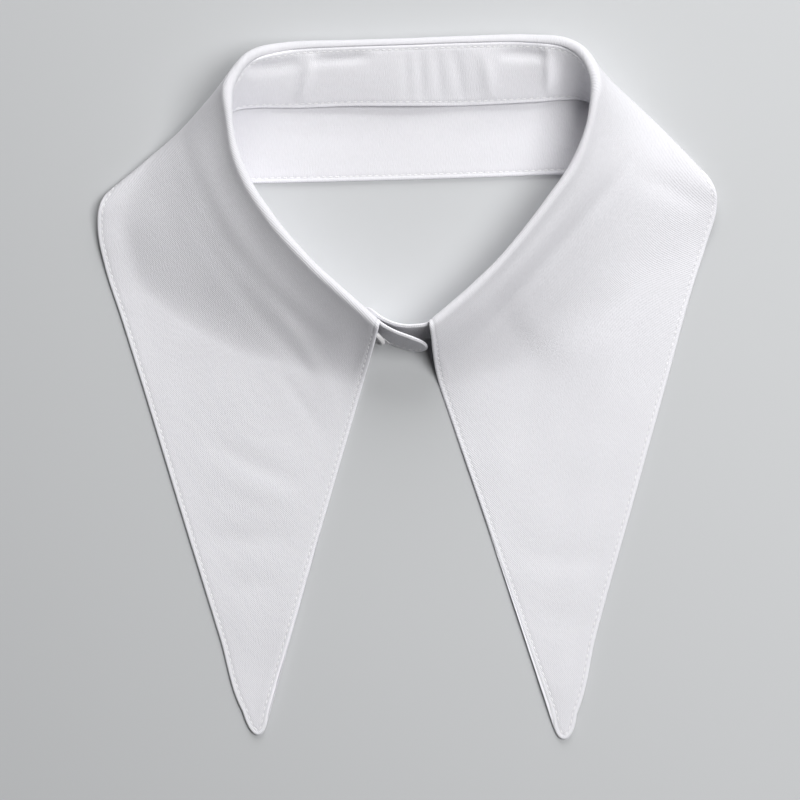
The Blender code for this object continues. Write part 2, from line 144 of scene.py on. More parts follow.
RIGHT_END = [  # the end that laps on the inside, from the wing to its tip
    Stand("lap_root",     3.4,  20.9, 21.4,   4.2,  18.6, 0.6),
    Stand("lap_middle",  -2.6,  21.1, 21.2,  -2.6,  19.0, 0.6),
    Stand("lap_side",    -9.2,  23.6, 20.9, -10.2,  21.6, 0.8),
    Stand("lap_tip",    -16.2,  29.7, 18.0, -17.6,  27.0, 1.2),
]

CENTRE = np.array([-0.08, -1.39, -0.47])  # puts the origin mid-outline and the thinner cloth on the table
print("sections:", len(LEFT_STAND) + len(MIDDLE_STAND) + len(RIGHT_STAND))

# %% [markdown]
# ## A smooth curve through the sections
#
# Between two sections the cloth runs on smoothly. A cubic through the rows, spaced by how far apart they
# are, gives that without the bulges that an even spacing makes where rows lie close together.

# %% Curves through the rows
def columns(rows):
    return np.array([row[1:] for row in rows], dtype=float)


def spacing(values):
    steps = np.linalg.norm(np.diff(values, axis=0), axis=1)
    return np.concatenate([[0.0], np.cumsum(np.maximum(steps, 1e-6))])


def smooth(knots, values, at):
    gaps = np.diff(knots)[:, None]
    slopes = np.diff(values, axis=0) / gaps
    tangents = np.empty_like(values)
    tangents[1:-1] = (slopes[:-1] * gaps[1:] + slopes[1:] * gaps[:-1]) / (gaps[1:] + gaps[:-1])
    tangents[0] = slopes[0]
    tangents[-1] = slopes[-1]
    span = np.clip(np.searchsorted(knots, at, side="right") - 1, 0, len(knots) - 2)
    width = (knots[span + 1] - knots[span])[:, None]
    t = ((at - knots[span]) / width[:, 0])[:, None]
    return (values[span] * (2 * t ** 3 - 3 * t ** 2 + 1) + values[span + 1] * (3 * t ** 2 - 2 * t ** 3)
            + tangents[span] * width * (t ** 3 - 2 * t ** 2 + t)
            + tangents[span + 1] * width * (t ** 3 - t ** 2))


def unit(vectors):
    return vectors / np.maximum(np.linalg.norm(vectors, axis=-1, keepdims=True), 1e-9)


fall_rows = LEFT_FALL + MIDDLE_FALL + RIGHT_FALL
stand_rows = LEFT_STAND + MIDDLE_STAND + RIGHT_STAND
all_rows = LEFT_END + stand_rows + RIGHT_END
FIRST = len(LEFT_END)
LAST = FIRST + len(fall_rows) - 1
stand_table = columns(all_rows)
fall_table = columns(fall_rows)
stand_knots = spacing(stand_table)
shared = spacing(np.hstack([stand_table[FIRST:LAST + 1], fall_table[:, :6]]))
print("seam length %.0f mm" % np.linalg.norm(np.diff(stand_table[FIRST:LAST + 1, :3], axis=0), axis=1).sum())

# %% [markdown]
# ## The middle surface of the fall
#
# The fall leaves the seam upward, rolls over, drops to the table and lies out to its hem. An arc, a cubic
# and a straight line make that section. The mesh lines crowd together near the edges, because the turned
# edge and the stitches need points there, while the open cloth needs few.

# %% Grid of the fall
LAYER = 0.62          # from the middle of the two layers to the outer face of each
REST = 1.15           # height of the middle surface over the table, as in the solids
FINE = 1.9            # length of a mesh step along the hem
END_STEPS = 14        # mesh steps between the close rows at each front edge
NEAR_EDGE = np.array([7.0, 5.4, 4.2, 3.4, 2.8, 2.35, 2.0, 1.65, 1.3, 0.95, 0.65, 0.4, 0.2, 0.08, 0.0])
ROLL_STEPS, DROP_STEPS, LIE_STEPS = 12, 28, 42


def fall_stations():
    """Distances along the seam at which the mesh has a line, finer at the two front edges."""
    hem = np.linalg.norm(np.diff(fall_table[:, 3:6], axis=0), axis=1)
    top = np.linalg.norm(np.diff(stand_table[FIRST:LAST + 1, :3], axis=0), axis=1)
    parts = []
    for k, (a, b) in enumerate(zip(shared, shared[1:])):
        count = max(3, math.ceil(max(hem[k], top[k]) / FINE))
        if k < 2 or k > len(hem) - 3:
            count = END_STEPS
        parts.append(np.linspace(a, b, count, endpoint=False))
    return np.concatenate(parts + [shared[-1:]])


at_fall = fall_stations()
seam_low = smooth(shared, stand_table[FIRST:LAST + 1], at_fall)
feet = smooth(shared, fall_table, at_fall)
seam, low = seam_low[:, 0:3], seam_low[:, 3:6]
up = unit(seam - low)
foot, hem = feet[:, 0:3].copy(), feet[:, 3:6].copy()
foot[:, 2] = np.maximum(foot[:, 2], REST)
hem[:, 2] = np.maximum(hem[:, 2], REST)
roll, slope, drop, sweep = (feet[:, k:k + 1] for k in (6, 7, 8, 9))


def round_tip(first, last, handle_first, handle_last):
    """Bends the outer edge between two close rows round a blunt tip, as a turned point has."""
    here = slice(min(first, last), max(first, last) + 1)
    t = np.linspace(0, 1, abs(last - first) + 1)[:, None]
    a, b = hem[first, :2].copy(), hem[last, :2].copy()
    curve = (a * (1 - t) ** 3 + (a + handle_first) * 3 * t * (1 - t) ** 2
             + (b + handle_last) * 3 * t ** 2 * (1 - t) + b * t ** 3)
    hem[here, :2] = curve if last > first else curve[::-1]


round_tip(0, 2 * END_STEPS, (-0.3, -10.4), (3.6, -12.7))
round_tip(len(hem) - 1, len(hem) - 1 - 2 * END_STEPS, (0.5, -12.6), (-1.2, -12.6))
SEAM_GAP = 0.12       # width of the seam line between the stand and the fall


def fall_surface():
    start = seam + up * SEAM_GAP
    level = unit((foot - seam) * (1, 1, 0))
    steep = np.radians(slope)
    down = level * np.cos(steep) - np.array([0.0, 0.0, 1.0]) * np.sin(steep)
    dot = np.sum(down * up, axis=1, keepdims=True)
    across = unit(down - up * dot)
    turn = np.arccos(np.clip(dot, -1, 1))
    lines = []
    for k in range(ROLL_STEPS + 1):
        a = turn * k / ROLL_STEPS
        lines.append(start + across * roll * (1 - np.cos(a)) + up * roll * np.sin(a))
    lip = lines[-1]
    one = lip + down * drop
    two = foot + unit((foot - hem) * (1, 1, 0.4)) * sweep
    for k in range(1, DROP_STEPS + 1):
        t = k / DROP_STEPS
        lines.append(lip * (1 - t) ** 3 + one * 3 * t * (1 - t) ** 2
                     + two * 3 * t ** 2 * (1 - t) + foot * t ** 3)
    length = np.linalg.norm(hem - foot, axis=1, keepdims=True)
    edge_from = 1 - np.minimum(NEAR_EDGE[0], length * 0.5) / length
    for k in range(1, LIE_STEPS + 1):
        lines.append(foot + (hem - foot) * edge_from * k / LIE_STEPS)
    for step in NEAR_EDGE[1:]:
        lines.append(foot + (hem - foot) * (1 - (1 - edge_from) * step / NEAR_EDGE[0]))
    return np.stack(lines, axis=1)


fall_grid = fall_surface()
print("fall grid", fall_grid.shape)

# %% [markdown]
# ## The middle surface of the stand
#
# The stand is a band cut with rounded ends. Its two ends lap at the front: the left one passes outside and
# is the tab with the buttonhole, and the right one passes inside.

# %% Grid of the stand
TAB_ROUND = 7.0       # length over which the lapping ends are rounded
BOW = 0.8             # outward bow of the stand at mid height
STAND_STEPS = 340     # mesh lines between the two wings
LAP_STEPS = 46        # mesh lines of each lapping end
STAND_NEAR = [0.0, 0.08, 0.2, 0.4, 0.65, 0.95, 1.3, 1.65, 2.0, 2.4, 2.8, 3.3, 4.0, 5.2]


def stand_surface():
    at = np.linspace(0, 1, STAND_STEPS)
    left = np.linspace(stand_knots[0], stand_knots[FIRST], LAP_STEPS)[:-1]
    right = np.linspace(stand_knots[LAST], stand_knots[-1], LAP_STEPS)[1:]
    rows = np.vstack([smooth(stand_knots, stand_table, left),
                      smooth(shared, stand_table[FIRST:LAST + 1], shared[-1] * at),
                      smooth(stand_knots, stand_table, right)])
    top, bottom = rows[:, 0:3], rows[:, 3:6]
    run = spacing(top)
    from_end = np.minimum(run, run[-1] - run)
    q = np.clip(1 - from_end / TAB_ROUND, 0, 0.985)
    cut = 0.5 * (1 - np.sqrt(1 - q ** 2))
    outward = unit(np.cross(np.gradient(top, axis=0), top - bottom))
    height = np.linalg.norm(bottom - top, axis=1) * (1 - 2 * cut)
    near = np.array(STAND_NEAR)
    lines = []
    share = np.minimum(near[None, :] / height[:, None], 0.45 * near[None, :] / near[-1])
    middle = np.linspace(0, 1, 12)[1:-1]
    inner = share[:, -1:] + (1 - 2 * share[:, -1:]) * middle[None, :]
    steps = np.hstack([share, inner, 1 - share[:, ::-1]])
    v = cut[:, None] * 1.1 + (1 - cut * 2.0)[:, None] * steps
    bow = BOW * 4 * v * (1 - v)
    grid = top[:, None] + (bottom - top)[:, None] * v[..., None] + outward[:, None] * bow[..., None]
    return grid, unit(bottom - top)


stand_grid, stand_down = stand_surface()
print("stand grid", stand_grid.shape)

# %% [markdown]
# ## How far each point is from an edge
#
# Everything that makes an edge look sewn depends on the distance to it: the rounding, the turned allowance
# under the cloth, the groove that the stitches pull in. Each point looks only along the mesh lines near its
# own, so that a layer folded under it does not count as its edge.

# %% Distances to the edges
FAR = 1e9             # stands for no edge near
FRONT_ROWS = 90       # mesh lines that can be near a front edge of the fall
LAP_ROWS = 60         # mesh lines that can be near a rounded end of the stand


def nearest(points, start, along):
    """Distance to a short straight line, and the share of it at which the nearest place lies."""
    length = np.maximum(np.sum(along ** 2, -1), 1e-9)
    t = np.clip(np.sum((points - start) * along, -1) / length, 0, 1)
    return np.linalg.norm(points - (start + along * t[..., None]), axis=-1), t


def to_line(grid, edge, window):
    """Distance of each point to an edge line, and how far along the edge the nearest point is."""
    rows = grid.shape[0]
    run = spacing(edge)
    best = np.full(grid.shape[:2], FAR)
    place = np.zeros(grid.shape[:2])
    index = np.arange(rows)
    for shift in range(-window, window + 1):
        other = np.clip(index + shift, 0, rows - 2)
        start = edge[other][:, None]
        gap, t = nearest(grid, start, edge[other + 1][:, None] - start)
        closer = gap < best
        best[closer] = gap[closer]
        here = run[other][:, None] + t * (run[other + 1] - run[other])[:, None]
        place[closer] = here[closer]
    return best, place


def to_end(grid, end_line, rows):
    """The same for an edge that is the first or last mesh line, for the points near it."""
    best = np.full(grid.shape[:2], FAR)
    place = np.zeros(grid.shape[:2])
    run = spacing(end_line)
    for k in range(len(end_line) - 1):
        gap, t = nearest(grid[rows], end_line[k], end_line[k + 1] - end_line[k])
        closer = gap < best[rows]
        best[rows] = np.where(closer, gap, best[rows])
        place[rows] = np.where(closer, run[k] + t * (run[k + 1] - run[k]), place[rows])
    return best, place


fall_hem, hem_place = to_line(fall_grid, fall_grid[:, -1], 40)
left_front, left_place = to_end(fall_grid, fall_grid[0], slice(0, FRONT_ROWS))
right_front, right_place = to_end(fall_grid, fall_grid[-1], slice(len(fall_grid) - FRONT_ROWS, None))
fall_front = np.minimum(left_front, right_front)
fall_edge = np.minimum(fall_hem, fall_front)
front_place = np.where(left_front < right_front, -left_place, 900 + right_place)
fall_place = np.where(fall_hem < fall_front, hem_place, front_place)

stand_top, top_place = to_line(stand_grid, stand_grid[:, 0], 14)
stand_bottom, bottom_place = to_line(stand_grid, stand_grid[:, -1], 14)
tab_end, _ = to_end(stand_grid, stand_grid[0], slice(0, LAP_ROWS))
lap_end, _ = to_end(stand_grid, stand_grid[-1], slice(len(stand_grid) - LAP_ROWS, None))
stand_edge = np.minimum(np.minimum(stand_top, stand_bottom), np.minimum(tab_end, lap_end))
stand_place = np.where(stand_top < stand_bottom, top_place, 500 + bottom_place)
print("widest distance to an edge %.0f mm" % fall_edge[fall_edge < FAR].max())

# %% [markdown]
# ## Creases placed one by one
#
# Interfaced cloth holds a few long soft creases where it was rolled and pressed. Each row is one crease:
# where it starts, the corner it bends toward, where it ends, and how wide and deep it is. A negative depth is
# a trough. A cloth simulation would scatter folds anywhere, so they are listed one by one.

# %% Creases and the soft unevenness of the cloth
Crease = namedtuple("Crease", "name start bend end width depth")
FALL_CREASES = [
    Crease("trough_roll_left", (-64, 97), (-50, 51), (-11, 21), 3.4, -0.30),
    Crease("fine_left_1", (-87, 100), (-76, 45), (-28, 16), 2.2, -0.30),
    Crease("ridge_left", (-81, 100), (-70, 47), (-22, 17), 3.0, 0.30),
    Crease("fine_left_2", (-92, 91), (-73, 36), (-27, -2), 2.2, -0.30),
    Crease("ridge_left_2", (-64, 48), (-43, 22), (-24, -5), 2.4, 0.35),
    Crease("edge_left", (-50, 8), (-39, -7), (-29, -22), 2.0, -0.35),
    Crease("edge_left_2", (-41, 14), (-31, 2), (-25, -13), 2.0, 0.25),
    Crease("break_left", (-110, 36), (-70, 15), (-27, 1), 7.0, 0.25),
    Crease("ripple_left_1", (-77, -20), (-58, -29), (-39, -38), 4.0, -0.45),
    Crease("ripple_left_2", (-73, -32), (-57, -40), (-40, -43), 4.5, 0.30),
    Crease("ripple_left_3", (-76, -56), (-60, -60), (-44, -55), 4.5, -0.40),
    Crease("ripple_left_4", (-69, -74), (-58, -77), (-48, -72), 4.0, -0.30),
    Crease("side_left_1", (-112, 68), (-103, 52), (-102, 33), 4.0, -0.50),
    Crease("side_left_2", (-102, 75), (-92, 57), (-90, 37), 5.0, 0.30),
    Crease("trough_roll_right", (15, 24), (55, 56), (70, 92), 2.6, -0.70),
    Crease("fine_right", (15, 7), (54, 45), (87, 88), 2.2, -0.85),
    Crease("ridge_right", (12, 15), (47, 45), (74, 83), 2.6, 0.55),
    Crease("fine_right_2", (24, 1), (50, 27), (74, 56), 2.6, 0.25),
    Crease("shoulder_right", (86, 80), (100, 77), (113, 69), 3.6, -0.50),
    Crease("ripple_right_1", (41, -63), (58, -68), (75, -64), 4.5, -0.40),
    Crease("ripple_right_2", (50, -87), (60, -91), (70, -87), 4.0, -0.20),
]
BACK_CREASES = [
    Crease("back_under_1", (-56, 99), (-30, 95), (-3, 100), 4.0, -0.25),
    Crease("back_under_2", (9, 95), (35, 99), (59, 103), 4.5, -0.30),
]
STAND_CREASES = [
    Crease("back_left", (-63, 119), (-52, 121), (-41, 124), 1.9, -1.60),
    Crease("back_left_high", (-61, 122), (-52, 126), (-42, 127), 1.8, 0.68),
    Crease("back_middle", (-38, 124), (-26, 125), (-13, 126), 1.7, -1.20),
    Crease("back_slant", (-36, 127), (-38, 118), (-42, 110), 1.9, 1.20),
    Crease("back_dent_1", (-1, 129), (0, 120), (0, 110), 1.6, -0.45),
    Crease("back_dent_2", (5, 129), (5, 120), (6, 110), 1.6, -0.60),
    Crease("back_dent_3", (11, 129), (12, 120), (13, 110), 1.6, -0.52),
    Crease("back_dent_4", (18, 128), (20, 119), (21, 111), 1.8, -0.60),
    Crease("right_swell", (29, 128), (31, 119), (32, 111), 2.2, 0.75),
    Crease("right_hollow", (35, 126), (45, 128), (54, 125), 2.0, -1.50),
    Crease("right_pleat", (53, 130), (54, 121), (54, 112), 1.4, 0.90),
    Crease("right_turn", (58, 128), (59, 118), (59, 109), 3.6, -1.10),
]
CREASE_STEPS = 24     # points along a crease


def crease_height(points, creases):
    """Summed height of the creases at points seen from above, fading toward each crease's ends."""
    total = np.zeros(points.shape[:-1])
    t = np.linspace(0, 1, CREASE_STEPS)[:, None]
    for crease in creases:
        start, bend, end = (np.array(place, dtype=float) for place in crease[1:4])
        line = start * (1 - t) ** 2 + bend * 2 * t * (1 - t) + end * t ** 2
        run = spacing(line) / spacing(line)[-1]
        best = np.full(total.shape, FAR)
        place = np.zeros(total.shape)
        for k in range(len(line) - 1):
            gap, share = nearest(points, line[k], line[k + 1] - line[k])
            closer = gap < best
            best[closer] = gap[closer]
            place[closer] = (run[k] + share * (run[k + 1] - run[k]))[closer]
        fade = np.sin(np.pi * np.clip(place, 0, 1)) ** 0.7
        total += crease.depth * fade * np.exp(-(best / crease.width) ** 2)
    return total


def soft_waves(points, seed, sizes, heights):
    """Low, wide unevenness: a few seeded sine waves in each size."""
    rng = np.random.default_rng(seed)
    total = np.zeros(points.shape[:-1])
    for size, height in zip(sizes, heights):
        for _ in range(5):
            angle = rng.uniform(0, math.pi)
            shift = rng.uniform(0, 2 * math.pi)
            stretch = rng.uniform(0.7, 1.4)
            total += height * np.sin(points @ np.array([math.cos(angle), math.sin(angle)])
                                     * 2 * math.pi / (size * stretch) + shift) / 5 ** 0.5
    return total


row_at = np.interp(at_fall, shared, np.arange(len(shared)))
left_rows = len(LEFT_FALL)
on_wing = np.clip((np.abs(row_at - left_rows) - 4.0) / 1.5, 0, 1)[:, None]
calm_hem = np.clip(fall_hem / 9.0, 0, 1) ** 1.5
calm_seam = np.clip(np.linalg.norm(fall_grid - fall_grid[:, :1], axis=-1) / 5.0, 0, 1)
fall_height = crease_height(fall_grid[..., :2], FALL_CREASES) * on_wing
fall_height += soft_waves(fall_grid[..., :2], 4, (46.0, 21.0), (0.16, 0.07)) * calm_hem * on_wing
under_back = np.clip((4.0 - np.abs(row_at - left_rows)) / 1.0, 0, 1)[:, None]
fall_height -= crease_height(fall_grid[..., :2], BACK_CREASES) * under_back
fall_height *= calm_seam
stand_height = crease_height(stand_grid[..., :2], STAND_CREASES)
print("creases from %.2f to %.2f mm" % (fall_height.min(), fall_height.max()))

# %% [markdown]
# ## From a middle surface to a cloth shell
#
# A layer of the collar is a thin sheet turned in at its edge. Its outer face curves down to the edge, swells
# a little over the turned allowance, dips under the stitches and is lifted between them by small puckers.
# Solidify would give an even slab with square edges, so both faces are made here from the same grid.

# %% Shell maker
ROUND = 0.55          # distance over which the outer face curves down to the edge
STITCH_IN = 1.75      # distance of the topstitching from the edge of the fall
GROOVE = 0.15         # depth of the groove along the stitches
SWELL = 0.07          # extra thickness over the turned allowance
PUCKER = 0.055        # height of the puckers beside the stitches
INSIDE = 0.06         # from the middle surface to the hidden face of a layer
ON_TABLE = 0.02       # the lowest a point of cloth can be


def link(name, data):
    """Puts a mesh, lamp or camera into the scene as an object of the same name."""
    item = bpy.data.objects.new(name, data)
    bpy.context.scene.collection.objects.link(item)
    return item


def bisectors(grid, axis):
    steps = unit(np.diff(grid, axis=axis))
    first = np.take(steps, [0], axis=axis)
    last = np.take(steps, [-1], axis=axis)
    return unit(np.concatenate([first, steps], axis=axis) + np.concatenate([steps, last], axis=axis))


def normals(grid, start):
    along = bisectors(grid, 0)
    across = bisectors(grid, 1)
    across[:, 0] = start
    return unit(np.cross(across, along))


def thickness(edge, place, stitch_in, seed):
    """Distance of a layer's outer face from the middle surface."""
    rim = np.sqrt(np.clip(1 - (1 - np.clip(edge / ROUND, 0, 1)) ** 2, 0, 1))
    groove = np.exp(-((edge - stitch_in) / 0.42) ** 2)
    swell = np.exp(-((edge - stitch_in * 0.45) / 0.8) ** 2)
    swell += 0.5 * np.exp(-((edge - stitch_in - 1.6) / 1.3) ** 2)
    rng = np.random.default_rng(seed)
    waves = sum(np.sin(place * 2 * math.pi / size + rng.uniform(0, 6.28)) for size in (3.9, 5.3, 7.7, 12.1))
    pucker = waves / 2.2 * np.exp(-((edge - stitch_in - 0.2) / 1.3) ** 2)
    face = LAYER + SWELL * swell - GROOVE * groove + PUCKER * pucker
    return INSIDE + (face - INSIDE) * rim


def shell(name, grid, start, side, outer, height, places, edge):
    """A closed thin layer. `side` is +1 or -1 for the face it shows; height is shared by both layers."""
    out = normals(grid, start)
    lifted = grid + out * height[..., None]
    top = lifted + out * side * outer[..., None]
    bottom = lifted + out * side * INSIDE
    rows, cols = grid.shape[:2]
    verts = np.concatenate([top.reshape(-1, 3), bottom.reshape(-1, 3)]) + CENTRE
    verts[:, 2] = np.maximum(verts[:, 2], ON_TABLE)
    ids = np.arange(rows * cols).reshape(rows, cols)
    quads = np.stack([ids[:-1, :-1], ids[1:, :-1], ids[1:, 1:], ids[:-1, 1:]], -1).reshape(-1, 4)
    back = quads[:, ::-1] + rows * cols
    ring = np.concatenate([ids[:, 0], ids[-1, 1:], ids[-2::-1, -1], ids[0, -2:0:-1]])
    after = np.roll(ring, -1)
    rim = np.stack([after, ring, ring + rows * cols, after + rows * cols], -1)
    faces = np.concatenate([quads, back, rim])
    mesh = bpy.data.meshes.new(name)
    mesh.from_pydata((verts * MM).tolist(), [], faces.tolist())
    mesh.validate()
    fixed = bmesh.new()
    fixed.from_mesh(mesh)
    bmesh.ops.recalc_face_normals(fixed, faces=fixed.faces)
    fixed.to_mesh(mesh)
    fixed.free()
    lay = mesh.attributes.new("cloth_mm", "FLOAT_VECTOR", "POINT")
    lay.data.foreach_set("vector", np.tile(places.reshape(-1, 3), (2, 1)).ravel())
    near = mesh.attributes.new("edge_mm", "FLOAT", "POINT")
    near.data.foreach_set("value", np.tile(edge.ravel(), 2))
    mesh.shade_smooth()
    print(name, len(mesh.polygons), "faces")
    return link(name, mesh), top, out * side

# %% [markdown]
# ## The four layers
#
# The upper collar is the layer that shows on the points, and the under collar shows at the back, where the
# fall is turned under. The two stand layers carry the seam above and the neckline edge below.

# %% Make the layers
def down_the_cloth(grid):
    """Running length of each mesh line from the first edge."""
    steps = np.linalg.norm(np.diff(grid, axis=1), axis=2)
    return np.concatenate([np.zeros((len(grid), 1)), np.cumsum(steps, axis=1)], axis=1)


def flat_places(grid):
    """Where each point would be with its section rolled out flat on the table."""
    level = unit((grid[:, -1] - grid[:, 0]) * (1, 1, 0))
    return grid[:, :1] * (1, 1, 0) + level[:, None] * down_the_cloth(grid)[..., None]


def band_places(grid):
    """Where each point would be with the band laid out straight."""
    down = down_the_cloth(grid)
    run = spacing(grid[:, 0])
    return np.stack([np.broadcast_to(run[:, None], down.shape), down, np.zeros_like(down)], -1)


STAND_STITCH = 1.7    # distance of the stand's topstitching from its edges
fall_face = thickness(fall_edge, fall_place, STITCH_IN, 11)
stand_face = thickness(stand_edge, stand_place, STAND_STITCH, 12)
fall_shape = (-fall_height, flat_places(fall_grid), fall_edge)
stand_shape = (stand_height, band_places(stand_grid), stand_edge)
upper, upper_face, upper_out = shell("upper_collar", fall_grid, up, -1, fall_face, *fall_shape)
under, under_face, under_out = shell("under_collar", fall_grid, up, 1, fall_face, *fall_shape)
inner, inner_face, inner_out = shell("inner_stand", stand_grid, stand_down, 1, stand_face, *stand_shape)
outer, outer_face, outer_out = shell("outer_stand", stand_grid, stand_down, -1, stand_face, *stand_shape)

# %% [markdown]
# ## Topstitching
#
# The stitches of a collar are short thread bars a couple of millimetres long, sunk a little where each one
# enters the cloth. Each line of stitches follows the places that are the same distance from the edge. The
# bars are joined into one mesh a line, since a collar has hundreds of them and no one moves them apart.

# %% Find the lines the stitches follow
STITCH_PITCH = 2.5    # from one stitch to the next
STITCH_LONG = 2.0     # length of a stitch that shows
STITCH_WIDE = 0.42    # thickness of the thread


def crossing(values, level, from_end):
    """Where each line of values first reaches a level, counted from one of its ends."""
    found = []
    for k, line in enumerate(values):
        order = range(len(line) - 1, 0, -1) if from_end else range(1, len(line))
        for j in order:
            a, b = (line[j], line[j - 1]) if from_end else (line[j - 1], line[j])
            if a < level <= b:
                t = (level - a) / (b - a)
                found.append((k, (j - t) if from_end else (j - 1 + t)))
                break
    return found


def read(points, row, col):
    """A grid of vectors read at fractional places."""
    r, c = int(min(max(row, 0), points.shape[0] - 1.001)), int(min(max(col, 0), points.shape[1] - 1.001))
    u, v = row - r, col - c
    return ((points[r, c] * (1 - v) + points[r, c + 1] * v) * (1 - u)
            + (points[r + 1, c] * (1 - v) + points[r + 1, c + 1] * v) * u)


def fall_stitch_path():
    """The line of stitches down one front edge, along the hem and up the other front edge."""
    hem_line = [(k, c) for k, c in crossing(fall_hem, STITCH_IN, True)
                if read(fall_front[..., None], k, c)[0] > STITCH_IN * 0.99]
    left = [(r, c) for c, r in crossing(left_front[:FRONT_ROWS].T, STITCH_IN, False)
            if ROLL_STEPS + 2 < c and read(fall_hem[..., None], r, c)[0] > STITCH_IN]
    offset = len(fall_grid) - FRONT_ROWS
    right = [(r + offset, c) for c, r in crossing(right_front[offset:].T, STITCH_IN, True)
             if ROLL_STEPS + 2 < c and read(fall_hem[..., None], r + offset, c)[0] > STITCH_IN]
    return left + hem_line + right[::-1]


def band_path(edge, from_end, skip):
    """The line of stitches beside one edge of the stand, without the lines skipped at its two ends."""
    return [(k, c) for k, c in crossing(edge, STAND_STITCH, from_end) if skip < k < len(edge) - skip]


fall_path = fall_stitch_path()
neck_path = band_path(stand_bottom, True, 4)
seam_path = band_path(stand_top, False, 52)
print("stitch lines", len(fall_path), len(neck_path), len(seam_path))

# %% Stitches as joined bars
def stitch_line(name, path, face, out, seed, slant=0.0, jitter=0.06):
    """Thread bars laid on a face along a path of grid places."""
    def on_path(values, at):
        return np.array([np.interp(at, run, values[:, axis]) for axis in range(3)])

    points = np.array([read(face, r, c) for r, c in path]) + CENTRE
    normal = unit(np.array([read(out, r, c) for r, c in path]))
    run = spacing(points)
    count = int((run[-1] - STITCH_LONG) / STITCH_PITCH)
    rng = np.random.default_rng(seed)
    verts, faces = [], []
    ring = 8
    profile = [(-0.5, 0.12, -0.30), (-0.44, 0.62, -0.12), (-0.26, 0.92, 0.02), (0.0, 1.0, 0.06),
               (0.26, 0.92, 0.02), (0.44, 0.62, -0.12), (0.5, 0.12, -0.30)]
    for k in range(count):
        at = (k + 0.5) * STITCH_PITCH + rng.normal(0, jitter)
        here = on_path(points, at)
        n = unit(on_path(normal, at))
        along = unit(on_path(points, at + 0.9) - on_path(points, at - 0.9))
        side = unit(np.cross(n, along))
        tilt = slant + rng.normal(0, 0.04)
        along = along * math.cos(tilt) + side * math.sin(tilt)
        side = unit(np.cross(n, along))
        long = STITCH_LONG * (1 + rng.normal(0, 0.05))
        first = len(verts)
        for place, wide, lift in profile:
            middle = here + along * long * place + n * lift
            for m in range(ring):
                a = 2 * math.pi * m / ring
                r = STITCH_WIDE / 2 * wide
                verts.append(middle + side * r * math.cos(a) + n * r * 0.8 * math.sin(a))
        for m in range(len(profile) - 1):
            for q in range(ring):
                a, b = first + m * ring + q, first + m * ring + (q + 1) % ring
                faces.append((a, b, b + ring, a + ring))
        faces.append(tuple(first + q for q in range(ring - 1, -1, -1)))
        faces.append(tuple(first + (len(profile) - 1) * ring + q for q in range(ring)))
    verts = np.array(verts)
    verts[:, 2] = np.maximum(verts[:, 2], ON_TABLE + 0.01)
    mesh = bpy.data.meshes.new(name)
    mesh.from_pydata((verts * MM).tolist(), [], faces)
    mesh.shade_smooth()
    print(name, count, "stitches")
    return link(name, mesh)


stitches = [
    stitch_line("stitches_upper", fall_path, upper_face, upper_out, 21),
    stitch_line("stitches_under", fall_path, under_face, under_out, 22),
    stitch_line("stitches_neck_inner", neck_path, inner_face, inner_out, 23, 0.12),
    stitch_line("stitches_neck_outer", neck_path, outer_face, outer_out, 24, 0.12),
    stitch_line("stitches_seam_inner", seam_path, inner_face, inner_out, 25, 0.16),
    stitch_line("stitches_seam_outer", seam_path, outer_face, outer_out, 26, 0.16),
]

# %% [markdown]
# ## The button and its buttonhole
#
# A small four-hole resin button fastens the neck. It is turned on a lathe from its section, and its holes
# are real tubes between the face and the back, so no boolean is needed. The thread crosses from hole to hole
# and goes down to a short shank. The buttonhole is a slit worked over with close stitches.

# %% Button, thread and buttonhole
BUTTON_R = 4.8        # radius of the button
HOLE_R = 0.62         # radius of each of its four holes
HOLE_AT = 1.05        # how far each hole is from the middle, both ways
BUTTON_ALONG = 0.97   # where the button is on the tab, as a share of its length from the tip
BUTTON_LOW = 10.5     # how far the button's middle is below the tab's top edge

button_at = stand_knots[FIRST] * BUTTON_ALONG
tab = smooth(stand_knots, stand_table, np.array([button_at]))[0]
tab_down = unit(tab[3:6] - tab[0:3])
beside = smooth(stand_knots, stand_table, np.array([button_at + 1.0]))[0][0:3]
tab_out = unit(np.cross(tab[0:3] - beside, tab_down))
tab_out = -tab_out if tab_out[1] > 0 else tab_out
seat = tab[0:3] + tab_down * BUTTON_LOW + tab_out * (LAYER + BOW + 0.35) + CENTRE
side_x = unit(np.cross(tab_out, (0.0, 0.0, 1.0)))
side_y = np.cross(tab_out, side_x)


def button_point(x, y, height):
    return (seat + side_x * x + side_y * y + tab_out * height) * MM


def dish(r):
    """Height of the button's face at a distance from its middle: a rounded rim and a shallow dish."""
    table = [(0, 1.15), (3.0, 1.2), (3.5, 1.55), (3.9, 1.85), (4.3, 1.85), (4.65, 1.5), (BUTTON_R, 0.95)]
    return float(np.interp(r, [t[0] for t in table], [t[1] for t in table]))


